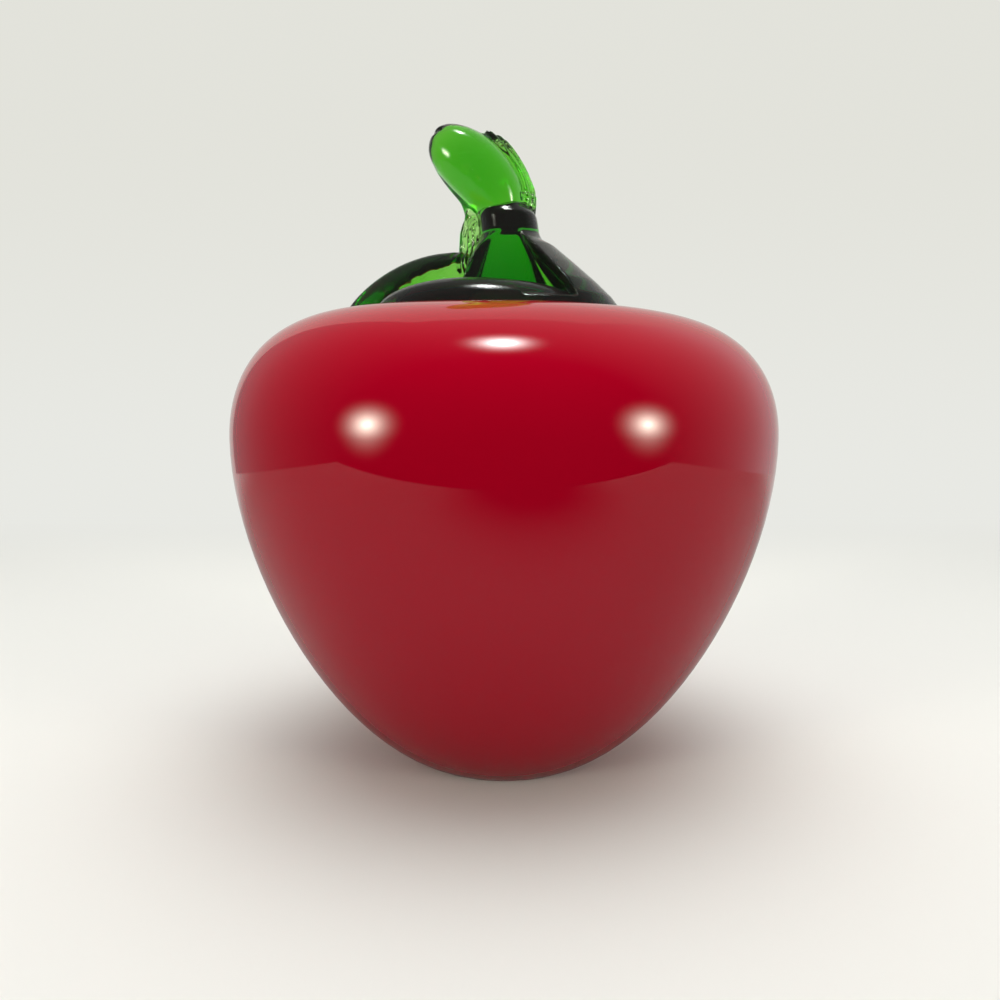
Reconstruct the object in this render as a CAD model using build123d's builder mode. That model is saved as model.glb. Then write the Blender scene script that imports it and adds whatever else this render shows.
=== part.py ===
from build123d import *
from math import cos, pi, radians, sin, sqrt, tan
import os

# A blown art glass apple: a red layer cased over an opal bubble, and a stem, foot and leaf
# worked hot from transparent green glass. Millimetres and degrees. The apple stands on z = 0
# with its axis on +Z, the front is -Y, and the stem curls over to the left, towards -X.

os.makedirs("parts", exist_ok=True)

# Outer form of the apple
body_radius = 47.5
equator_height = 57.6
base_radius = 15.8
base_rise = 25.0
base_reach = 18.9
flank_reach = 20.8
shoulder_reach = 12.6
crest_reach = 13.3
crest_radius = 25.8
crest_height = 77.9

# Hollow under the base, so that the apple stands on a ring
kick_radius = 11.0
kick_height = 2.2

# Dimple and the hole where the bubble was cracked off the blowpipe
dimple_depth = 11.0
dimple_rim_reach = 9.0
dimple_floor_reach = 7.0
neck_radius = 4.5

# Thickness of the two layers of the wall
red_thickness = 1.4
opal_thickness = 3.4

# Paths of the green glass are curves with four guide points, each given by its x and y and its
# height above the rim of the foot.

# Green foot: a puddle that fills the dimple, flatter at the front, with a lip rolled up there
foot_radius = 20.4
foot_rim_drop = 1.6
foot_height = 7.2
foot_lobes = 3
foot_lobe_depth = 2.6
foot_points_per_lobe = 4
foot_front = 0.8
foot_layers = 5
plug_depth = 2.6
lip_path = ((-20.0, -4.8, -1.0), (-14.5, -12.0, 2.2), (-2.0, -16.0, 2.4), (15.0, -9.5, 1.0))
lip_height = 6.0
lip_depth = 4.2
lip_layers = 11
lip_fullness = 4
lip_end = 0.98

# Green stem: a skirt and a waist in rings of (height, left, right, front, back)
skirt_rings = (
    (0.5, -10.0, 22.5, -17.0, 10.0),
    (7.8, -7.6, 16.3, -14.6, 8.0),
    (14.8, -5.1, 9.0, -7.8, 6.0),
    (17.6, -4.1, 6.3, -5.4, 5.3),
)

# Curl of the stem, which leans to the left
curl_path = ((-1.0, 0.0, 22.0), (-0.8, 0.0, 26.0), (-7.3, -1.4, 31.4), (-12.7, -3.0, 33.8))
waist_radius = 4.4
curl_radius = 5.3
curl_widest = 0.5
curl_layers = 9
tip_radius = 0.6
bluntness = 2.05

# Lump behind the waist in rings of (height, half width, back), with one front and shift for all
lump_rings = (
    (0.5, 13.5, 25.6),
    (4.5, 11.3, 22.6),
    (19.0, 4.7, 11.6),
    (24.2, 4.9, 4.0),
)
lump_front = -3.0
lump_shift = 0.8

# Flat that is pinched into the front of the skirt
pinch_low = 4.5
pinch_high = 17.8
pinch_wide = 7.0
pinch_narrow = 3.1
pinch_front = -4.6
pinch_opening = 4.0
pinch_depth = 16.0

# Green leaf: a thick tongue that springs from the stem and lies over the left shoulder, turned
# so that its top falls to the back
leaf_path = ((-3.0, 3.4, 8.6), (-11.0, 3.8, 10.6), (-20.0, 5.2, 9.0), (-28.9, 6.4, 1.0))
leaf_depth = 6.5
leaf_tip_depth = 12.0
leaf_height = 10.0
leaf_tip_height = 5.0
leaf_corner = 0.38
leaf_taper_start = 0.3
leaf_tip_fullness = 3
leaf_tip_share = 0.12
leaf_turn = 26.0
leaf_tip_turn = 32.0
leaf_layers = 10
crimps = 6
crimp_radius = 1.6
crimp_depth = 0.5
crimp_first = 0.3
crimp_last = 0.8

# Tail of the leaf: the strand drawn up from it, through the waist and along the right of the curl
tail_rise_path = ((-6.0, 3.4, 11.0), (-6.1, 3.0, 14.0), (-6.0, 3.0, 17.0), (-5.7, 2.8, 19.0))
tail_bend_path = ((-5.7, 2.8, 19.0), (-5.4, 2.6, 22.4), (4.4, 1.6, 20.4), (3.6, 1.6, 23.6))
tail_back_path = ((3.6, 1.6, 23.6), (2.8, 1.6, 26.8), (0.4, 1.4, 32.0), (-3.6, 1.4, 34.1))
tail_root_radius = 1.9
tail_bend_radius = 1.3
tail_end_radius = 2.3
tail_spread = 2.4
tail_layers = 19

# Heights and places that follow from the values above
wall_thickness = red_thickness + opal_thickness
neck_height = crest_height - dimple_depth
plug_bottom = neck_height - plug_depth
foot_rim_height = crest_height - foot_rim_drop


def layer_surface(inset):
    """Half section of a glass surface lying inset below the outer form, drawn in a BuildLine."""
    ring_radius = base_radius - inset * tan(radians(base_rise / 2))
    base_slope = Vector(cos(radians(base_rise)), sin(radians(base_rise)))
    base_edge = Vector(ring_radius, inset)
    equator = Vector(body_radius - inset, equator_height)
    crest = Vector(crest_radius, crest_height - inset)
    neck = Vector(neck_radius, neck_height - inset)
    up = Vector(0, 1)
    inward = Vector(-1, 0)
    rim_reach = dimple_rim_reach - inset / 2
    floor_reach = dimple_floor_reach + inset / 2
    TangentArc((0, kick_height + inset), (kick_radius, inset), tangent=(1, 0))
    Line((kick_radius, inset), base_edge)
    Bezier(base_edge, base_edge + base_slope * base_reach, equator - up * flank_reach, equator)
    Bezier(equator, equator + up * shoulder_reach, crest - inward * crest_reach, crest)
    Bezier(crest, crest + inward * rim_reach, neck - inward * floor_reach, neck)


def glass_layer(outer_inset, inner_inset):
    """Closed half section between two glass surfaces, drawn in a BuildSketch."""
    with BuildLine() as section:
        layer_surface(outer_inset)
        Line((neck_radius, neck_height - outer_inset), (neck_radius, neck_height - inner_inset))
        layer_surface(inner_inset)
        Line((0, kick_height + inner_inset), (0, kick_height + outer_inset))
    make_face(section.edges())


def lobed_outline(radius, depth):
    """Closed wavy outline about the axis, flatter at the front, drawn in a BuildSketch."""
    count = foot_points_per_lobe * foot_lobes
    points = []
    for step in range(count):
        turn = 2 * pi * step / count
        reach = radius + depth * cos(foot_lobes * turn)
        squeeze = foot_front if sin(turn) < 0 else 1
        points.append((reach * cos(turn), reach * sin(turn) * squeeze))
    with BuildLine() as outline:
        Spline(*points, periodic=True)
    make_face(outline.edges())


def draw_path(path):
    """Curve with these guide points, drawn in a BuildLine."""
    Bezier(*[Vector(x, y, foot_rim_height + height) for x, y, height in path])


def square_plane(curve, along, across):
    """Plane square to a curve at a share of its length, with x as near to across as it can be."""
    heading = curve % along
    return Plane(curve @ along, x_dir=across - heading * across.dot(heading), z_dir=heading)


def rounding(past):
    """Share of the full size that is left at a share of the way into a rounded end."""
    return (1 - past**bluntness) ** (1 / bluntness)


# Solid outer form with only the neck open, used to seat the green glass on the apple
with BuildPart() as apple_form:
    with BuildSketch(Plane.XZ):
        with BuildLine():
            layer_surface(0)
            Polyline(
                (neck_radius, neck_height),
                (neck_radius, plug_bottom),
                (0, plug_bottom),
                (0, kick_height),
            )
        make_face()
    revolve(axis=Axis.Z)

# Red glass outside
with BuildPart() as red_casing:
    with BuildSketch(Plane.XZ):
        glass_layer(0, red_thickness)
    revolve(axis=Axis.Z)
red_casing.part.label = "red_casing"

# Opal bubble inside the red
with BuildPart() as opal_core:
    with BuildSketch(Plane.XZ):
        glass_layer(red_thickness, wall_thickness)
    revolve(axis=Axis.Z)
opal_core.part.label = "opal_core"

# Lip rolled up along the front of the foot
with BuildLine() as lip_line:
    draw_path(lip_path)

with BuildPart() as lip:
    for layer in range(lip_layers):
        from_middle = cos(pi * layer / (lip_layers - 1))
        share = rounding(lip_end * abs(from_middle) ** lip_fullness)
        with BuildSketch(square_plane(lip_line.line, (1 - from_middle) / 2, Vector(0, 0, 1))):
            Ellipse(lip_height * share, lip_depth * share)
    loft()

# Foot in the dimple, with the plug that seals the neck
with BuildPart() as stem_foot:
    with BuildSketch(Plane.XY.offset(plug_bottom)):
        lobed_outline(foot_radius, foot_lobe_depth)
    for layer in range(foot_layers):
        rise = layer / foot_layers
        with BuildSketch(Plane.XY.offset(foot_rim_height + foot_height * rise)):
            lobed_outline(foot_radius * sqrt(1 - rise**2), foot_lobe_depth)
    loft()
    add(lip.part)
    add(apple_form.part, mode=Mode.SUBTRACT)
stem_foot.part.label = "stem_foot"

# Tail of the leaf, in one run through the waist
with BuildLine() as tail_line:
    draw_path(tail_rise_path)
    draw_path(tail_bend_path)
    draw_path(tail_back_path)

with BuildPart() as leaf_tail:
    for layer in range(tail_layers):
        along = layer / (tail_layers - 1)
        from_bend = 2 * along - 1
        outer_radius = tail_end_radius if from_bend > 0 else tail_root_radius
        spread = min(1, tail_spread * abs(from_bend))
        with BuildSketch(square_plane(tail_line.line, along, Vector(0, 1, 0))):
            Circle(tail_bend_radius + (outer_radius - tail_bend_radius) * spread)
    loft()
    add(stem_foot.part, mode=Mode.SUBTRACT)
    add(apple_form.part, mode=Mode.SUBTRACT)
leaf_tail.part.label = "leaf_tail"

# Lump behind the waist
with BuildPart() as lump:
    for height, half_width, back in lump_rings:
        with BuildSketch(Plane((lump_shift, (lump_front + back) / 2, foot_rim_height + height))):
            Ellipse(half_width, (back - lump_front) / 2)
    loft(ruled=True)

# Jaw that pinches the flat
with BuildPart() as jaw:
    for reach, opening in ((0, 0), (pinch_depth, pinch_opening)):
        with BuildSketch(Plane.XZ.offset(reach - pinch_front)):
            Polygon(
                (lump_shift - pinch_wide - opening, foot_rim_height + pinch_low),
                (lump_shift + pinch_wide + opening, foot_rim_height + pinch_low),
                (lump_shift + pinch_narrow + opening, foot_rim_height + pinch_high),
                (lump_shift - pinch_narrow - opening, foot_rim_height + pinch_high),
                align=None,
            )
    loft()

# Stem: a skirt up to the waist, then the curl
with BuildLine() as curl_line:
    draw_path(curl_path)


def curl_plane(along):
    """Plane square to the curl at a share of its length."""
    return square_plane(curl_line.line, along, Vector(1, 0, 0))


def curl_size(along):
    """Radius of the curl at a share of its length."""
    if along < curl_widest:
        return waist_radius + (curl_radius - waist_radius) * sin(pi / 2 * along / curl_widest)
    past = (along - curl_widest) / (1 - curl_widest)
    return tip_radius + (curl_radius - tip_radius) * rounding(past)


with BuildPart() as stem:
    for height, left, right, front, back in skirt_rings:
        with BuildSketch(Plane(((left + right) / 2, (front + back) / 2, foot_rim_height + height))):
            Ellipse((right - left) / 2, (back - front) / 2)
    with BuildSketch(curl_plane(0)):
        Circle(waist_radius)
    loft()
    for layer in range(curl_layers):
        along = sin(pi / 2 * layer / (curl_layers - 1))
        with BuildSketch(curl_plane(along)):
            Circle(curl_size(along))
    loft()
    add(lump.part)
    add(jaw.part, mode=Mode.SUBTRACT)
    for neighbour in (stem_foot, leaf_tail, apple_form):
        add(neighbour.part, mode=Mode.SUBTRACT)
stem.part.label = "stem"

# Leaf, with the marks of the crimping tool across its back edge
with BuildLine() as leaf_line:
    draw_path(leaf_path)


def leaf_plane(along):
    """Plane square to the leaf, with x across its depth and -y out of its top."""
    turn = radians(leaf_turn + (leaf_tip_turn - leaf_turn) * along)
    return square_plane(leaf_line.line, along, Vector(0, cos(turn), -sin(turn)))


def leaf_size(along):
    """Depth and height of the tongue, from its root at 0 to its tip at 1."""
    taper = max(0, (along - leaf_taper_start) / (1 - leaf_taper_start))
    share = max(rounding(taper**leaf_tip_fullness), leaf_tip_share)
    depth = leaf_depth + (leaf_tip_depth - leaf_depth) * taper
    height = leaf_height + (leaf_tip_height - leaf_height) * taper
    return depth * share, height * share


with BuildPart() as leaf:
    for layer in range(leaf_layers):
        along = sin(pi / 2 * layer / (leaf_layers - 1))
        depth, height = leaf_size(along)
        with BuildSketch(leaf_plane(along)):
            RectangleRounded(depth, height, leaf_corner * min(depth, height))
    loft()
    for crimp in range(crimps):
        along = crimp_first + (crimp_last - crimp_first) * crimp / (crimps - 1)
        depth, height = leaf_size(along)
        place = leaf_plane(along)
        above = place.origin - place.y_dir * (height / 2 + crimp_radius - crimp_depth)
        with BuildSketch(Plane(above, z_dir=place.x_dir)):
            Circle(crimp_radius)
        extrude(amount=depth, mode=Mode.SUBTRACT)
    for neighbour in (stem_foot, stem, leaf_tail, apple_form):
        add(neighbour.part, mode=Mode.SUBTRACT)
leaf.part.label = "leaf"

for piece in (red_casing, opal_core, stem_foot, stem, leaf, leaf_tail):
    export_step(piece.part, f"parts/{piece.part.label}.step")
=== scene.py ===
# Looks of a blown art glass apple: an opaque red body with a stem, foot and leaf in transparent green glass.
# Metres. The apple stands on z = 0 with its axis on +Z, and the viewer is on the -Y side.
from math import atan2, cos, pi, radians, sin, sqrt

import bmesh
import bpy
from mathutils import Matrix, Vector
from mathutils.geometry import interpolate_bezier
from mathutils.kdtree import KDTree


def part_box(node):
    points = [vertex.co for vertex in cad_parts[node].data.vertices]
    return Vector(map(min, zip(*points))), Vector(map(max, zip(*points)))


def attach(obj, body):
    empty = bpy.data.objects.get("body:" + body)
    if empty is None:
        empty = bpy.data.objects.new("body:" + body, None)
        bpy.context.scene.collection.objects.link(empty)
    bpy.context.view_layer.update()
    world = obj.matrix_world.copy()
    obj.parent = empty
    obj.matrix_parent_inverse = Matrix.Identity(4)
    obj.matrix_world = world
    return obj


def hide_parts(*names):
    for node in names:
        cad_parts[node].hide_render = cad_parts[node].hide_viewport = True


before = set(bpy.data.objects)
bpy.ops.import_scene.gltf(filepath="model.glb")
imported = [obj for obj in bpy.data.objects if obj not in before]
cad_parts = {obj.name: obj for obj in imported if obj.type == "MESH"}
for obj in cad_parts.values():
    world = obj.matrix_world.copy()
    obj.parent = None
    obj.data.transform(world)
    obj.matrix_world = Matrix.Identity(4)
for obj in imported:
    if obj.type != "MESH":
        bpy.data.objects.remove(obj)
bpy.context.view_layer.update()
mm = 0.001
upright = Vector((0, 0, 1))
rightward = Vector((1, 0, 0))

# Sizes read from the CAD nodes
red_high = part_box("red_casing")[1]
body_radius = red_high.x
crest_height = red_high.z
plug_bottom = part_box("stem_foot")[0].z

# Section of the apple, as its CAD solid has it
equator_height = 57.6 * mm
base_radius = 15.8 * mm
base_rise = radians(25)
base_reach = 18.9 * mm
flank_reach = 20.8 * mm
shoulder_reach = 12.6 * mm
crest_reach = 13.3 * mm
crest_radius = 25.8 * mm
kick_radius = 11 * mm
kick_height = 2.2 * mm
kick_reach = 4 * mm
dimple_depth = 11 * mm
dimple_rim_reach = 9 * mm
dimple_floor_reach = 7 * mm
neck_radius = 4.5 * mm
red_thickness = 1.4 * mm

# Fuller left shoulder: its extra height, and how far out it is full
swell_height = 0.8 * mm
swell_reach = 32 * mm

# Fineness of the spun skins
section_steps = 24
spin_steps = 224
merge_distance = 0.005 * mm
red_crease = radians(50)


# Small helpers

def deselect_all():
    """Nothing is selected and Blender is in object mode."""
    if bpy.context.object and bpy.context.object.mode != "OBJECT":
        bpy.ops.object.mode_set(mode="OBJECT")
    bpy.ops.object.select_all(action="DESELECT")


def take(piece):
    """Makes this piece the one that operators act on."""
    deselect_all()
    piece.select_set(True)
    bpy.context.view_layer.objects.active = piece


def modify(piece, kind, **settings):
    """Adds a modifier with these settings and applies it."""
    take(piece)
    modifier = piece.modifiers.new(kind.title(), kind)
    for name, value in settings.items():
        setattr(modifier, name, value)
    bpy.ops.object.modifier_apply(modifier=modifier.name)


# Red body

def draw_section(name, points):
    """A mesh line through bezier points, each a (left handle, point, right handle) in radius and height."""
    deselect_all()
    bpy.ops.curve.primitive_bezier_curve_add()
    line = bpy.context.object
    line.name = name
    spline = line.data.splines[0]
    spline.resolution_u = section_steps
    spline.bezier_points.add(len(points) - len(spline.bezier_points))
    for point, (left, middle, right) in zip(spline.bezier_points, points):
        point.handle_left_type = point.handle_right_type = "FREE"
        point.handle_left = (left[0], 0, left[1])
        point.co = (middle[0], 0, middle[1])
        point.handle_right = (right[0], 0, right[1])
    bpy.ops.object.convert(target="MESH")
    return line


def spin_section(piece):
    """Turns a half section round the axis into a closed skin."""
    take(piece)
    bpy.ops.object.mode_set(mode="EDIT")
    bpy.ops.mesh.select_all(action="SELECT")
    bpy.ops.mesh.spin(steps=spin_steps, angle=2 * pi, center=(0, 0, 0), axis=(0, 0, 1))
    bpy.ops.mesh.select_all(action="SELECT")
    bpy.ops.mesh.remove_doubles(threshold=merge_distance)
    bpy.ops.mesh.normals_make_consistent(inside=False)
    bpy.ops.object.mode_set(mode="OBJECT")
    bpy.ops.object.shade_smooth_by_angle(angle=red_crease)


def apple_section():
    """Bezier points of the outer surface, from the middle of the base up to the neck in the dimple."""
    neck_height = crest_height - dimple_depth
    base_slope = Vector((cos(base_rise), sin(base_rise))) * base_reach
    hollow = Vector((0, kick_height))
    ring_in = Vector((kick_radius, 0))
    ring_out = Vector((base_radius, 0))
    equator = Vector((body_radius, equator_height))
    crest = Vector((crest_radius, crest_height))
    neck = Vector((neck_radius, neck_height))
    along = Vector((1, 0))
    up = Vector((0, 1))
    hollow_slope = (ring_in - hollow) / 3 - up * kick_height / 3
    return [
        (hollow, hollow, hollow + along * kick_reach),
        (ring_in - hollow_slope, ring_in, ring_in.lerp(ring_out, 1 / 3)),
        (ring_in.lerp(ring_out, 2 / 3), ring_out, ring_out + base_slope),
        (equator - up * flank_reach, equator, equator + up * shoulder_reach),
        (crest + along * crest_reach, crest, crest - along * dimple_rim_reach),
        (neck + along * dimple_floor_reach, neck, neck),
    ]


def ease(share):
    """Smooth step from 0 to 1."""
    share = min(1, max(0, share))
    return share * share * (3 - 2 * share)


def swell(piece):
    """Makes the left shoulder a little fuller than the right, as it is in the photo."""
    for vertex in piece.data.vertices:
        high = (vertex.co.z - equator_height) / (crest_height - equator_height)
        vertex.co.z += swell_height * ease(-vertex.co.x / swell_reach) * ease(high)


def make_red_casing():
    """The red layer: a spun skin with the thickness of the layer inside it."""
    piece = draw_section("red_body", apple_section())
    spin_section(piece)
    swell(piece)
    modify(piece, "SOLIDIFY", thickness=red_thickness, offset=-1)
    return piece


# Green glass. Places are in mm as (out, back, height): out to the left, back from the viewer, and height
# above the rim of the foot. Paths are curves with four such guide points.
foot_rim_drop = 1.6 * mm
rim_height = crest_height - foot_rim_drop
voxel = 0.27 * mm
melt_factor = 0.5
melt_steps = 5
green_crease = radians(60)
sink = 0.05 * mm
shortest_step = 0.01 * mm
thick_sides = 96
thin_sides = 48
fork_sides = 32

foot_radius = 20.4 * mm
foot_height = 7.2 * mm
foot_lobes = 3
foot_lobe_depth = 2.6 * mm
foot_layers = 16
foot_front = 0.8

lip_path = ((20.6, -4.8, -1.2), (16, -12, 1.5), (4.5, -16, 3.6), (-15, -9.5, -0.9))
lip_height = 6 * mm
lip_depth = 4.2 * mm
lip_steps = 40
lip_fullness = 4
lip_end = 0.98

# Sections of the skirt and the waist in mm: height, left, right, front and back
skirt_sections = (
    (0.5, -10, 22.5, -17, 10),
    (5.2, -8.6, 18.9, -16, 9),
    (7.8, -7.6, 16.3, -14.6, 8),
    (11.3, -6.5, 12.7, -11.4, 7),
    (14.8, -5.1, 9, -7.8, 6),
    (16, -4.5, 7, -6.2, 5.6),
    (17.2, -4.1, 6.4, -5.1, 5.3),
    (19.2, -4.2, 6.1, -5, 5.3),
    (20.5, -4.4, 5.8, -4.9, 5.3),
    (21.6, -4.9, 5, -4.2, 5.2),
)
stem_front_squareness = 2.3
stem_back_squareness = 2.2

# Curl of the stem, from the waist to its tip
curl_path = ((1, 0, 22), (0.8, 0, 26), (7.3, -0.6, 31.4), (12.7, -1.2, 33.8))
curl_points = 200
curl_layers = 48
waist_radius = 4.4 * mm
curl_radius = 5.3 * mm
curl_widest = 0.5
tip_radius = 0.6 * mm
tip_bluntness = 2.05

# The lump behind the waist in mm: height, half width and back
lump_sections = (
    (0.5, 13.5, 25.6),
    (4.5, 11.3, 22.6),
    (19.0, 4.7, 11.6),
    (24.2, 4.9, 4),
)
lump_shift = 0.8 * mm
lump_front = -3
lump_squareness = 3

# The flat that is pinched into the front of the skirt, in mm
pinch_low = 4.5
pinch_high = 17.2
pinch_wide = 9.6
pinch_narrow = 2.7
pinch_front = -4.6
pinch_front_high = -5.05
pinch_opening = 4
pinch_depth = 16
pinch_shift = -0.1 * mm

leaf_path = ((3, 4.5, 9.9), (11, 4.8, 11.6), (20.5, 5.4, 9.5), (28.9, 6.4, -2.6))
leaf_points = 201
leaf_layers = 72
leaf_depth = 11 * mm
leaf_height = 4 * mm
leaf_tip_height = 8.5 * mm
leaf_taper_start = 0.45
leaf_tip_fullness = 3
leaf_tip_share = 0.12
leaf_turn = radians(39)
leaf_squareness = 3

# Crimps along the leaf's front edge: their depth and number, and a second, quicker wave over them
crimp_depth = 0.2 * mm
crimps = 13
crimp_overtone = 2.3
crimp_overtone_share = 0.6
crimp_edge = 2

# The strand that is drawn up from the leaf, in three stretches, and where it is sheared off
tail_rise_path = ((6, 3.4, 11), (6.1, 3, 14), (6, 3, 17), (5.7, 2.8, 19))
tail_bend_path = ((5.7, 2.8, 19), (5.4, 2.6, 22.4), (-4.4, 1.6, 20.4), (-3.6, 1.6, 23.6))
tail_back_path = ((-3.6, 1.6, 23.6), (-2.8, 1.6, 26.8), (-0.4, 1.4, 32), (3.6, 1.4, 34.1))
tail_points = 20
tail_root_radius = 1.9 * mm
tail_bend_radius = 1.3 * mm
tail_end_radius = 2.3 * mm
tail_end_depth = 1.6
tail_spread = 2.4
tail_side = Vector((0.2, 1, 0))
shear_place = (3.2, 1.4, 33.6)
shear_heading = Vector((0, 0.42, 0.91))

fork_path = ((5.9, 1.5, 19.5), (5, 1, 24), (8.5, 0.5, 25.2), (12.2, 0, 29.4))
fork_radius = 1.2 * mm
fork_tip_radius = 0.3 * mm
fork_layers = 40

# Reeds along the strand, which sway a little round it
reeds = 14
reed_depth = 0.22 * mm
reed_reach = 4.3 * mm
reed_fade = 0.5 * mm
reed_sway = 1.2
reed_sway_rate = 0.4

# Marks on the front of the curl in mm: x and height of both ends, half width and depth
curl_marks = (
    ((-14, 33.9), (-11, 34.6), 0.6, 0.5),
    ((-6.9, 27.4), (-6.4, 26.9), 0.5, 0.5),
    ((-6.1, 27.7), (-5.8, 27.1), 0.4, 0.4),
    ((-4.6, 25.7), (-4.3, 25.4), 0.4, 0.4),
)
mark_facing = -0.2


def spot(out, back, height):
    """A point of the green glass, from millimetres."""
    return Vector((-out * mm, back * mm, rim_height + height * mm))


def points_along(path, count):
    """Points along a path of the green glass."""
    return interpolate_bezier(*[spot(*guide) for guide in path], count)


def ring_at(centre, heading, side, across, deep):
    """Places a unit disc square to the heading, stretched to these radii along the side and across it."""
    z = heading.normalized()
    x = (side - side.project(z)).normalized()
    y = z.cross(x)
    return Matrix.Translation(centre) @ Matrix((x * across, y * deep, z)).transposed().to_4x4()


def level_ring(centre, across, deep):
    """A level ring with these radii along X and Y."""
    return ring_at(Vector(centre), upright, rightward, across, deep)


def rings_along(points, radii, side, depths=None):
    """Rings square to a path, one at each of its points."""
    rings = []
    for number, (point, radius, depth) in enumerate(zip(points, radii, depths or radii)):
        before = points[max(number - 1, 0)]
        after = points[min(number + 1, len(points) - 1)]
        rings.append(ring_at(point, after - before, side, radius, depth))
    return rings


def draw_out(name, rings, sides, front=2, back=2):
    """A closed rod of glass: a disc, round or squarer in front and behind, extruded from ring to ring."""
    deselect_all()
    bpy.ops.mesh.primitive_circle_add(vertices=sides, radius=1, fill_type="NGON")
    rod = bpy.context.object
    rod.name = name
    for vertex in rod.data.vertices:
        power = front if vertex.co.y < 0 else back
        vertex.co /= (abs(vertex.co.x) ** power + abs(vertex.co.y) ** power) ** (1 / power)
    bpy.ops.object.mode_set(mode="EDIT")
    bpy.ops.mesh.select_all(action="SELECT")
    placed = Matrix()
    for number, ring in enumerate(rings):
        if number:
            bpy.ops.mesh.extrude_region_move()
        mesh = bmesh.from_edit_mesh(rod.data)
        end = [vertex for vertex in mesh.verts if vertex.select]
        bmesh.ops.transform(mesh, matrix=ring @ placed.inverted(), verts=end)
        bmesh.update_edit_mesh(rod.data)
        placed = ring
    bpy.ops.mesh.select_all(action="SELECT")
    bpy.ops.mesh.normals_make_consistent(inside=False)
    bpy.ops.object.mode_set(mode="OBJECT")
    return rod


def bluntness(past):
    """Share of the full radius left at this share of the way to a rounded end."""
    return (1 - past**tip_bluntness) ** (1 / tip_bluntness)


def make_foot():
    """The puddle in the dimple: a dome with a wavy outline."""
    rings = [level_ring((0, 0, plug_bottom), foot_radius, foot_radius)]
    for layer in range(foot_layers):
        rise = layer / foot_layers
        reach = foot_radius * sqrt(1 - rise**2)
        rings.append(level_ring((0, 0, rim_height + foot_height * rise), reach, reach))
    foot = draw_out("foot", rings, thick_sides)
    for vertex in foot.data.vertices:
        reach = vertex.co.xy.length
        turn = vertex.co.xy.angle_signed(Vector((1, 0)))
        vertex.co.xy *= 1 + foot_lobe_depth * cos(foot_lobes * turn) / reach
        if vertex.co.y < 0:
            vertex.co.y *= foot_front
    return foot


def make_lip():
    """The lip rolled up along the front of the foot."""
    heights = []
    depths = []
    for step in range(lip_steps):
        share = bluntness(abs(2 * step / (lip_steps - 1) - 1) ** lip_fullness * lip_end)
        heights.append(lip_height * share)
        depths.append(lip_depth * share)
    rings = rings_along(points_along(lip_path, lip_steps), heights, upright, depths)
    return draw_out("lip", rings, thin_sides)


def make_lump():
    """The lump behind the waist, with a flat back."""
    rings = []
    for height, reach, back in lump_sections:
        centre = (lump_shift, (lump_front + back) / 2 * mm, rim_height + height * mm)
        rings.append(level_ring(centre, reach * mm, (back - lump_front) / 2 * mm))
    return draw_out("lump", rings, thick_sides, back=lump_squareness)


def make_pinch():
    """The jaw that pinches a flat into the front of the skirt."""
    deselect_all()
    bpy.ops.mesh.primitive_cube_add(size=2)
    jaw = bpy.context.object
    for vertex in jaw.data.vertices:
        side, depth, level = vertex.co
        reach = pinch_narrow if level > 0 else pinch_wide
        vertex.co.x = pinch_shift + side * (reach + (pinch_opening if depth < 0 else 0)) * mm
        front = pinch_front_high if level > 0 else pinch_front
        vertex.co.y = (front if depth > 0 else front - pinch_depth) * mm
        vertex.co.z = rim_height + (pinch_high if level > 0 else pinch_low) * mm
    return jaw


def make_stem():
    """Skirt, waist and curl, drawn out in one rod."""
    rings = []
    for height, left, right, front, back in skirt_sections:
        centre = ((left + right) / 2 * mm, (front + back) / 2 * mm, rim_height + height * mm)
        rings.append(level_ring(centre, (right - left) / 2 * mm, (back - front) / 2 * mm))
    points = points_along(curl_path, curl_points)
    places = []
    radii = []
    for layer in range(curl_layers):
        along = sin(pi / 2 * layer / (curl_layers - 1))
        place = points[round(along * (curl_points - 1))]
        if places and (place - places[-1]).length < shortest_step:
            continue
        places.append(place)
        if along < curl_widest:
            radii.append(waist_radius + (curl_radius - waist_radius) * sin(pi / 2 * along / curl_widest))
        else:
            past = (along - curl_widest) / (1 - curl_widest)
            radii.append(tip_radius + (curl_radius - tip_radius) * bluntness(past))
    rings += rings_along(places, radii, rightward)
    stem = draw_out("stem", rings, thick_sides, stem_front_squareness, stem_back_squareness)
    jaw = make_pinch()
    modify(stem, "BOOLEAN", operation="DIFFERENCE", object=jaw, solver="EXACT")
    bpy.data.objects.remove(jaw)
    return stem


def make_leaf():
    """A tongue bent over the shoulder, tilted so that its top falls to the back."""
    points = points_along(leaf_path, leaf_points)
    places = []
    heights = []
    depths = []
    for layer in range(leaf_layers):
        along = sin(pi / 2 * layer / (leaf_layers - 1))
        place = points[round(along * (leaf_points - 1))]
        if places and (place - places[-1]).length < shortest_step:
            continue
        taper = max(0, (along - leaf_taper_start) / (1 - leaf_taper_start))
        blunt = max(bluntness(min(1, taper**leaf_tip_fullness)), leaf_tip_share)
        places.append(place)
        heights.append((leaf_height + (leaf_tip_height - leaf_height) * along) / 2 * blunt)
        depths.append(leaf_depth / 2 * blunt)
    rings = rings_along(places, depths, Vector((0, cos(leaf_turn), -sin(leaf_turn))), heights)
    leaf = draw_out("leaf", rings, thick_sides, leaf_squareness, leaf_squareness)
    crimp(leaf, rings, depths, heights)
    return leaf


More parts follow.
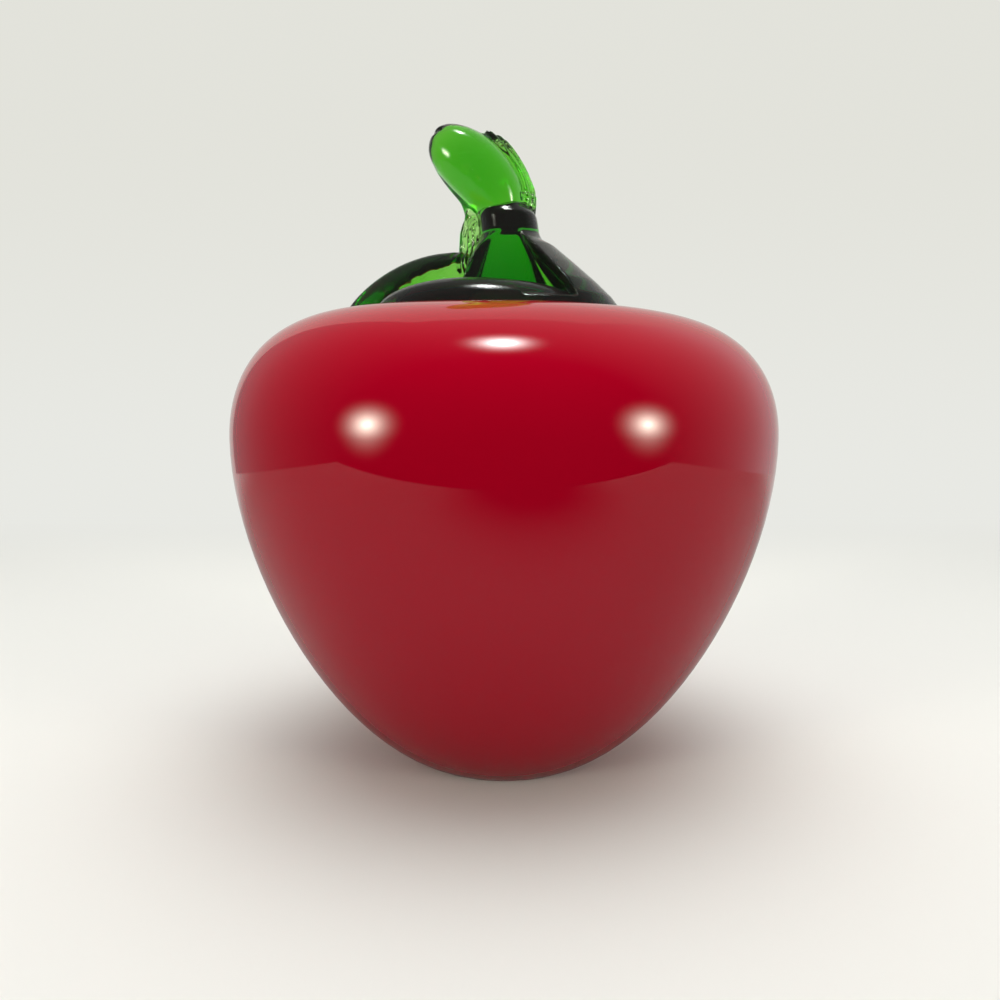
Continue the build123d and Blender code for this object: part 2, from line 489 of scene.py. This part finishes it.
def crimp(leaf, rings, depths, heights):
    """Presses crimps into the leaf's front edge, ring by ring."""
    for number, (ring, depth, height) in enumerate(zip(rings, depths, heights)):
        across, under = (ring.col[axis].xyz.normalized() for axis in (0, 1))
        step = number / len(rings)
        wave = cos(2 * pi * crimps * step)
        wave += crimp_overtone_share * sin(2 * pi * crimp_overtone * crimps * step)
        wave *= crimp_depth * sin(pi * step)
        for vertex in leaf.data.vertices[number * thick_sides : (number + 1) * thick_sides]:
            offset = vertex.co - ring.translation
            corner = max(0, -offset.dot(across)) * max(0, offset.dot(under)) / (depth * height)
            vertex.co += under * wave * min(1, crimp_edge * corner)


def tail_path():
    """Points of the strand: up from the leaf, behind the waist and along the right of the curl."""
    points = points_along(tail_rise_path, tail_points)
    for path in (tail_bend_path, tail_back_path):
        points += points_along(path, tail_points)[1:]
    return points


def make_tail():
    """The strand that climbs from the leaf."""
    points = tail_path()
    last = len(points) - 1
    radii = []
    depths = []
    for step in range(last + 1):
        along = 2 * step / last - 1
        outer = tail_end_radius if along > 0 else tail_root_radius
        radii.append(tail_bend_radius + (outer - tail_bend_radius) * min(1, tail_spread * abs(along)))
        depths.append(radii[-1] * (1 + (tail_end_depth - 1) * min(1, max(0, tail_spread * along))))
    tail = draw_out("tail", rings_along(points, depths, tail_side, radii), thin_sides)
    shear(tail, spot(*shear_place), shear_heading)
    return tail


def shear(piece, place, heading):
    """Cuts off what lies beyond a plane and closes the cut."""
    mesh = bmesh.new()
    mesh.from_mesh(piece.data)
    everything = mesh.verts[:] + mesh.edges[:] + mesh.faces[:]
    bmesh.ops.bisect_plane(mesh, geom=everything, plane_co=place, plane_no=heading, clear_outer=True)
    bmesh.ops.holes_fill(mesh, edges=[edge for edge in mesh.edges if edge.is_boundary])
    mesh.to_mesh(piece.data)
    mesh.free()


def make_fork():
    """The thin branch of the strand that runs on under the curl."""
    radii = []
    for step in range(fork_layers):
        past = max(0, 2 * step / (fork_layers - 1) - 1)
        radii.append(fork_tip_radius + (fork_radius - fork_tip_radius) * (1 - past**2))
    rings = rings_along(points_along(fork_path, fork_layers), radii, Vector((0, 1, 0)))
    return draw_out("fork", rings, fork_sides)


def reed(body):
    """Presses lengthwise reeds into the skin of the strand."""
    points = tail_path()
    tree = KDTree(len(points))
    for number, point in enumerate(points):
        tree.insert(point, number)
    tree.balance()
    moves = {}
    for vertex in body.data.vertices:
        nearest, number, distance = tree.find(vertex.co)
        if distance > reed_reach:
            continue
        heading = (points[min(number + 1, len(points) - 1)] - points[max(number - 1, 0)]).normalized()
        side = (tail_side - tail_side.project(heading)).normalized()
        offset = vertex.co - nearest
        turn = atan2(offset.dot(heading.cross(side)), offset.dot(side))
        fade = min(1, (reed_reach - distance) / reed_fade) * max(0, vertex.normal.dot(offset.normalized()))
        sway = reed_sway * sin(reed_sway_rate * number)
        moves[vertex.index] = vertex.normal * reed_depth * cos(reeds * turn + sway) * fade
    for index, move in moves.items():
        body.data.vertices[index].co += move


def mark(body):
    """Presses the marks of the shears and a few seeds into the front of the curl."""
    for start, end, reach, depth in curl_marks:
        start, end = (Vector((point[0] * mm, rim_height + point[1] * mm)) for point in (start, end))
        run = end - start
        for vertex in body.data.vertices:
            if vertex.normal.y > mark_facing:
                continue
            offset = vertex.co.xz - start
            along = min(1, max(0, offset.dot(run) / run.length_squared))
            past = (offset - run * along).length / (reach * mm)
            if past < 1:
                vertex.co -= vertex.normal * depth * mm * (1 - past**2) ** 2


def make_seat():
    """The apple's outer form as one solid with a blind neck, to seat the green glass on."""
    neck = Vector((neck_radius, crest_height - dimple_depth))
    corner = Vector((neck_radius, plug_bottom))
    middle = Vector((0, plug_bottom))
    points = apple_section()
    points[-1] = (points[-1][0], neck, neck.lerp(corner, 1 / 3))
    points.append((neck.lerp(corner, 2 / 3), corner, corner.lerp(middle, 1 / 3)))
    points.append((corner.lerp(middle, 2 / 3), middle, middle))
    seat = draw_section("seat", points)
    spin_section(seat)
    swell(seat)
    for vertex in seat.data.vertices:
        vertex.co.z -= sink
    return seat


def make_green():
    """Melts the green pieces into one body and seats it on the apple."""
    parts = [make_foot(), make_lip(), make_stem(), make_lump(), make_leaf(), make_tail(), make_fork()]
    take(parts[0])
    for part in parts:
        part.select_set(True)
    bpy.ops.object.join()
    body = bpy.context.object
    body.name = "green_body"
    modify(body, "REMESH", mode="VOXEL", voxel_size=voxel)
    modify(body, "SMOOTH", factor=melt_factor, iterations=melt_steps)
    reed(body)
    mark(body)
    seat = make_seat()
    modify(body, "BOOLEAN", operation="DIFFERENCE", object=seat, solver="EXACT")
    bpy.data.objects.remove(seat)
    take(body)
    bpy.ops.object.shade_smooth_by_angle(angle=green_crease)
    return body


# Materials. Effects that several of them share are node groups.
red_tone = (0.44, 0.0004, 0.015, 1)
red_other_tone = (0.47, 0.0008, 0.0195, 1)
red_ior = 1.52
ground_tone = (0.5, 0.2, 0.2, 1)
ground_grain = 900
ground_full = 0.05 * mm
ground_end = 0.35 * mm
green_tone = (1, 1, 1, 1)
green_other_tone = (0.95, 0.98, 0.94, 1)
green_ior = 1.5
green_clearness = 0.984
green_absorption = (0.40, 0.846, 0.026, 1)
green_density = 460
opal_tone = (0.9, 0.88, 0.84, 1)
opal_other_tone = (0.82, 0.8, 0.77, 1)
opal_ior = 1.5
smudge_start = 0.5
smudge_full = 0.72


def add_node(tree, kind, **settings):
    """Adds a shader node with these settings."""
    node = tree.nodes.new("ShaderNode" + kind)
    for name, value in settings.items():
        setattr(node, name, value)
    return node


def feed(tree, socket, value):
    """Gives a socket its value, which is a plain one or another node's output."""
    if isinstance(value, bpy.types.NodeSocket):
        tree.links.new(value, socket)
    else:
        socket.default_value = value


def calculate(tree, operation, first, second):
    """Result of a Math node with two values."""
    node = add_node(tree, "Math", operation=operation)
    feed(tree, node.inputs[0], first)
    feed(tree, node.inputs[1], second)
    return node.outputs["Value"]


def remap(tree, value, start, end, low, high, smooth=False):
    """A value carried from one range to another, which may ease in and out."""
    node = add_node(tree, "MapRange", interpolation_type="SMOOTHSTEP" if smooth else "LINEAR")
    names = ("Value", "From Min", "From Max", "To Min", "To Max")
    for name, given in zip(names, (value, start, end, low, high)):
        feed(tree, node.inputs[name], given)
    return node.outputs["Result"]


def mix(tree, kind, factor, first, second):
    """A mix of two values or, with the kind RGBA, of two colours."""
    node = add_node(tree, "Mix", data_type=kind)
    for name, given in zip(("Factor", "A", "B"), (factor, first, second)):
        feed(tree, node.inputs[name], given)
    return node.outputs["Result"]


def gap_from(tree, place, point):
    """Distance of a place from a fixed point."""
    node = add_node(tree, "VectorMath", operation="DISTANCE")
    feed(tree, node.inputs[0], place)
    feed(tree, node.inputs[1], point)
    return node.outputs["Value"]


def own_place(tree):
    """The piece's own coordinates."""
    return add_node(tree, "TexCoord").outputs["Object"]


def split(tree, place):
    """The separate coordinates of a place."""
    node = add_node(tree, "SeparateXYZ")
    feed(tree, node.inputs["Vector"], place)
    return node.outputs


def cloud(tree, scale, detail):
    """Noise over the piece's own coordinates."""
    noise = add_node(tree, "TexNoise")
    feed(tree, noise.inputs["Vector"], own_place(tree))
    feed(tree, noise.inputs["Scale"], scale)
    feed(tree, noise.inputs["Detail"], detail)
    return noise.outputs["Fac"]


def new_group(name, output, kind, inputs):
    """A node group with these inputs, each a name, a kind and a value; returns it, them and its output."""
    group = bpy.data.node_groups.new(name, "ShaderNodeTree")
    for socket, socket_kind, value in inputs:
        group.interface.new_socket(socket, in_out="INPUT", socket_type=socket_kind).default_value = value
    group.interface.new_socket(output, in_out="OUTPUT", socket_type=kind)
    given = group.nodes.new("NodeGroupInput").outputs
    return group, given, group.nodes.new("NodeGroupOutput").inputs[output]


def ripple_group():
    """Height of the slow waves and the fine skin that hot working leaves on glass."""
    inputs = (
        ("Wave Scale", "NodeSocketFloat", 60.0),
        ("Wave Depth", "NodeSocketFloat", 0.02 * mm),
        ("Skin Scale", "NodeSocketFloat", 700.0),
        ("Skin Depth", "NodeSocketFloat", 0.0),
    )
    group, given, height = new_group("hot_ripple", "Height", "NodeSocketFloat", inputs)
    layers = []
    for layer in ("Wave", "Skin"):
        noise = cloud(group, given[layer + " Scale"], 1)
        layers.append(calculate(group, "MULTIPLY", noise, given[layer + " Depth"]))
    feed(group, height, calculate(group, "ADD", *layers))
    return group


def smudge_group():
    """Roughness of a polished skin with faint patches of handling."""
    inputs = (
        ("Clean", "NodeSocketFloat", 0.02),
        ("Smudged", "NodeSocketFloat", 0.08),
        ("Scale", "NodeSocketFloat", 45.0),
    )
    group, given, roughness = new_group("smudges", "Roughness", "NodeSocketFloat", inputs)
    noise = cloud(group, given["Scale"], 6)
    patches = remap(group, noise, smudge_start, smudge_full, given["Clean"], given["Smudged"], smooth=True)
    feed(group, roughness, patches)
    return group


def mottle_group():
    """Colour that drifts between two tones, as in glass from one gather."""
    inputs = (
        ("Tone", "NodeSocketColor", (1, 1, 1, 1)),
        ("Other Tone", "NodeSocketColor", (1, 1, 1, 1)),
        ("Scale", "NodeSocketFloat", 40.0),
    )
    group, given, colour = new_group("mottle", "Color", "NodeSocketColor", inputs)
    noise = cloud(group, given["Scale"], 3)
    feed(group, colour, mix(group, "RGBA", noise, given["Tone"], given["Other Tone"]))
    return group


hot_ripple = ripple_group()
smudges = smudge_group()
mottle = mottle_group()


def new_material(name):
    """A material with a Principled shader; returns the material, its node tree and the shader."""
    material = bpy.data.materials.new(name)
    material.use_nodes = True
    return material, material.node_tree, material.node_tree.nodes["Principled BSDF"]


def use_group(tree, group, **values):
    """Output of a node group; a value for the socket Wave Scale is given as Wave_Scale."""
    node = add_node(tree, "Group", node_tree=group)
    for name, value in values.items():
        node.inputs[name.replace("_", " ")].default_value = value
    return node.outputs[0]


def raise_skin(tree, shader, **values):
    """Bumps a shader with the ripple of hot glass."""
    bump = add_node(tree, "Bump")
    bump.inputs["Distance"].default_value = 1
    feed(tree, bump.inputs["Height"], use_group(tree, hot_ripple, **values))
    feed(tree, shader.inputs["Normal"], bump.outputs["Normal"])


def red_glass():
    """Opaque red glass, ground dull on the ring that it stands on."""
    material, tree, glass = new_material("red_glass")
    tone = use_group(tree, mottle, Tone=red_tone, Other_Tone=red_other_tone, Scale=40)
    polish = use_group(tree, smudges, Clean=0.03, Smudged=0.055, Scale=30)
    ring = remap(tree, split(tree, own_place(tree))["Z"], ground_full, ground_end, 1, 0)
    worn = calculate(tree, "MULTIPLY", ring, cloud(tree, ground_grain, 4))
    feed(tree, glass.inputs["Base Color"], mix(tree, "RGBA", worn, tone, ground_tone))
    feed(tree, glass.inputs["Roughness"], calculate(tree, "ADD", worn, polish))
    raise_skin(tree, glass, Wave_Scale=55, Wave_Depth=0.02 * mm)
    glass.inputs["IOR"].default_value = red_ior
    return material


def green_glass():
    """Transparent green glass: clear skin over a body that absorbs, with a breath of haze."""
    material, tree, glass = new_material("green_glass")
    tone = use_group(tree, mottle, Tone=green_tone, Other_Tone=green_other_tone, Scale=160)
    polish = use_group(tree, smudges, Clean=0, Smudged=0.02, Scale=120)
    feed(tree, glass.inputs["Base Color"], tone)
    feed(tree, glass.inputs["Roughness"], polish)
    raise_skin(tree, glass, Wave_Scale=260, Wave_Depth=0.014 * mm, Skin_Scale=900, Skin_Depth=0.003 * mm)
    glass.inputs["IOR"].default_value = green_ior
    glass.inputs["Transmission Weight"].default_value = green_clearness
    body = add_node(tree, "VolumeAbsorption")
    body.inputs["Color"].default_value = green_absorption
    body.inputs["Density"].default_value = green_density
    feed(tree, tree.nodes["Material Output"].inputs["Volume"], body.outputs["Volume"])
    return material


def opal_glass():
    """Milky glass inside the wall."""
    material, tree, glass = new_material("opal_glass")
    tone = use_group(tree, mottle, Tone=opal_tone, Other_Tone=opal_other_tone, Scale=90)
    polish = use_group(tree, smudges, Clean=0.08, Smudged=0.2, Scale=60)
    feed(tree, glass.inputs["Base Color"], tone)
    feed(tree, glass.inputs["Roughness"], polish)
    raise_skin(tree, glass, Wave_Scale=80, Wave_Depth=0.03 * mm)
    glass.inputs["IOR"].default_value = opal_ior
    return material


# Stage: a floor that turns up into a backdrop
floor_front = -0.206
floor_back = 0.50
sweep_radius = 0.25
sweep_height = 1.4
sweep_width = 0.84
sweep_segments = 32
edge_margin = 1 * mm

# Its paper, the glow of the backdrop, and where the glow sets in behind the apple
pale = (0.82, 0.825, 0.81, 1)
black = (0, 0, 0, 1)
paper_roughness = 0.9
paper_gloss = 0.1
backdrop = (0.765, 0.765, 0.71, 1)
backdrop_low = (0.81, 0.815, 0.775, 1)
backdrop_turn = 0.3
wall_start = 0.10
wall_full = 0.42

# How bright floor and backdrop are where they are mirrored, and the shade on the floor in front
mirrored_floor = 0.44
mirrored_wall = 0.82
shade_place = (0.03, -0.21, 0)
shade_core = 0.04
shade_reach = 0.14

# Light from the room, and the room that is mirrored: darkest in front, brightest at the back and the right
ambient = (0.33, 0.33, 0.32, 1)
room_front = -0.5
room_back = 0.6
room_level = 0.62
room_half = 0.5
room_left_share = 0.47

# Lamps
white = (1, 1, 0.98)
warm = (1, 0.96, 0.8)
lamp_middle = (0.5, 0.5, 0)
lamp_rim = 0.5

# Camera
sensor_width = 36
lens = 29.95
clip_start = 10 * mm
camera_place = (-0.66 * mm, -151.8 * mm, 58.6 * mm)
camera_pitch = radians(90 - 4.64)


def seen_directly(tree):
    """1 for what the camera sees, also through glass, and 0 for what is mirrored or bounced."""
    path = add_node(tree, "LightPath").outputs
    return calculate(tree, "MAXIMUM", path["Is Camera Ray"], path["Is Transmission Ray"])


def sweep_paper():
    """Pale paper with an evenly lit backdrop; mirrored or bounced, it is dimmer and the floor is shaded."""
    material, tree, paper = new_material("sweep_paper")
    place = own_place(tree)
    direct = seen_directly(tree)
    gap = gap_from(tree, place, shade_place)
    shade = remap(tree, gap, shade_core, shade_reach, 0, mirrored_floor, smooth=True)
    level = mix(tree, "FLOAT", direct, shade, 1)
    feed(tree, paper.inputs["Base Color"], mix(tree, "RGBA", level, black, pale))
    paper.inputs["Roughness"].default_value = paper_roughness
    paper.inputs["Specular IOR Level"].default_value = paper_gloss
    coordinates = split(tree, place)
    rise = remap(tree, coordinates["Z"], 0, backdrop_turn, 0, 1, smooth=True)
    glow = add_node(tree, "Emission")
    feed(tree, glow.inputs["Color"], mix(tree, "RGBA", rise, backdrop_low, backdrop))
    feed(tree, glow.inputs["Strength"], mix(tree, "FLOAT", direct, mirrored_wall, 1))
    wall = remap(tree, coordinates["Y"], wall_start, wall_full, 0, 1, smooth=True)
    blend = add_node(tree, "MixShader")
    feed(tree, blend.inputs["Fac"], wall)
    feed(tree, blend.inputs[1], paper.outputs["BSDF"])
    feed(tree, blend.inputs[2], glow.outputs["Emission"])
    feed(tree, tree.nodes["Material Output"].inputs["Surface"], blend.outputs["Shader"])
    return material


def at_back(vertex):
    """Whether a point of the sweep lies on the back edge of the floor or above it."""
    return abs(vertex.co.y - floor_back) < edge_margin


def make_stage():
    """A paper sweep: a floor that turns up into a backdrop."""
    deselect_all()
    bpy.ops.mesh.primitive_plane_add(size=1, location=(0, (floor_front + floor_back) / 2, 0))
    sweep = bpy.context.object
    sweep.name = "sweep"
    sweep.scale = (sweep_width, floor_back - floor_front, 1)
    bpy.ops.object.transform_apply(location=True, rotation=True, scale=True)
    bpy.ops.object.mode_set(mode="EDIT")
    mesh = bmesh.from_edit_mesh(sweep.data)
    for edge in mesh.edges:
        edge.select = all(at_back(vertex) for vertex in edge.verts)
    mesh.select_flush_mode()
    bmesh.update_edit_mesh(sweep.data)
    bpy.ops.mesh.extrude_region_move(TRANSFORM_OT_translate={"value": (0, 0, sweep_height)})
    bpy.ops.mesh.select_all(action="DESELECT")
    mesh = bmesh.from_edit_mesh(sweep.data)
    for edge in mesh.edges:
        edge.select = all(at_back(vertex) and abs(vertex.co.z) < edge_margin for vertex in edge.verts)
    bmesh.update_edit_mesh(sweep.data)
    bpy.ops.mesh.bevel(offset=sweep_radius, segments=sweep_segments, offset_type="OFFSET")
    bpy.ops.object.mode_set(mode="OBJECT")
    bpy.ops.object.shade_smooth()
    sweep.data.materials.append(sweep_paper())


def soft_lamp(name, tint, target, direction, distance, diameter, radiance, falloff):
    """A round lamp that is brightest in the middle, aimed at the target."""
    area = pi * (diameter / 2) ** 2
    light = bpy.data.lights.new(name, "AREA")
    light.shape = "DISK"
    light.size = diameter
    light.energy = radiance * pi * area
    light.color = tint
    light.use_nodes = True
    tree = light.node_tree
    place = add_node(tree, "NewGeometry").outputs["Parametric"]
    inward = remap(tree, gap_from(tree, place, lamp_middle), 0, lamp_rim, 1, 0)
    feed(tree, tree.nodes["Emission"].inputs["Strength"], calculate(tree, "POWER", inward, falloff))
    lamp = bpy.data.objects.new(name, light)
    bpy.context.scene.collection.objects.link(lamp)
    lamp.location = Vector(target) + Vector(direction).normalized() * distance
    lamp.rotation_euler = (lamp.location - Vector(target)).to_track_quat("Z", "Y").to_euler()
    lamp.visible_camera = False
    return lamp


def make_lamps():
    """Two lamps at the sides, one that only shows as a highlight, and one that only lights from above."""
    top = soft_lamp(
        "lamp_top", white, target=(0, -0.044, 0.07), direction=(-0.002, -0.201, 0.979),
        distance=0.6, diameter=0.38, radiance=70, falloff=4.8,
    )
    top.visible_diffuse = False
    soft_lamp(
        "lamp_left", warm, target=(-0.018, -0.044, 0.06), direction=(-0.797, -0.589, 0.135),
        distance=0.7, diameter=0.46, radiance=39, falloff=3.7,
    )
    soft_lamp(
        "lamp_right", warm, target=(0.0185, -0.044, 0.06), direction=(0.825, -0.55, 0.135),
        distance=0.7, diameter=0.46, radiance=34, falloff=3.7,
    )
    overhead = soft_lamp(
        "lamp_overhead", white, target=(0, 0, 0), direction=(0.03, -0.05, 1),
        distance=0.8, diameter=1.1, radiance=5.2, falloff=1,
    )
    overhead.visible_glossy = False


def make_world():
    """A pale studio for the camera and through glass, and in reflections a room."""
    world = bpy.data.worlds.new("studio")
    bpy.context.scene.world = world
    world.use_nodes = True
    tree = world.node_tree
    direction = split(tree, add_node(tree, "TexCoord").outputs["Generated"])
    depth = remap(tree, direction["Y"], room_front, room_back, 0, room_level)
    side = remap(tree, direction["X"], -room_half, room_half, room_left_share, 1)
    room = calculate(tree, "MULTIPLY", depth, side)
    mirrored = add_node(tree, "LightPath").outputs["Is Glossy Ray"]
    reflected = mix(tree, "RGBA", mirrored, ambient, room)
    shown = mix(tree, "RGBA", seen_directly(tree), reflected, backdrop)
    background = tree.nodes["Background"]
    feed(tree, background.inputs["Color"], shown)
    background.inputs["Strength"].default_value = 1


def make_camera():
    """The view of the photo: a wide phone lens close to the apple, level with its widest part."""
    camera = bpy.data.cameras.new("camera")
    camera.sensor_width = sensor_width
    camera.lens = lens
    camera.clip_start = clip_start
    view = bpy.data.objects.new("camera", camera)
    bpy.context.scene.collection.objects.link(view)
    view.location = camera_place
    view.rotation_euler = (camera_pitch, 0, 0)
    bpy.context.scene.camera = view


def dress(piece, material):
    """Gives a piece this material alone."""
    piece.data.materials.clear()
    piece.data.materials.append(material)


# Assembly

red_body = make_red_casing()
dress(red_body, red_glass())
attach(red_body, "root")
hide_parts("red_casing")

green_body = make_green()
dress(green_body, green_glass())
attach(green_body, "root")
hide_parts("stem_foot", "stem", "leaf", "leaf_tail")

dress(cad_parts["opal_core"], opal_glass())

make_stage()
make_world()
make_camera()
make_lamps()

bpy.context.scene.view_settings.view_transform = "Standard"
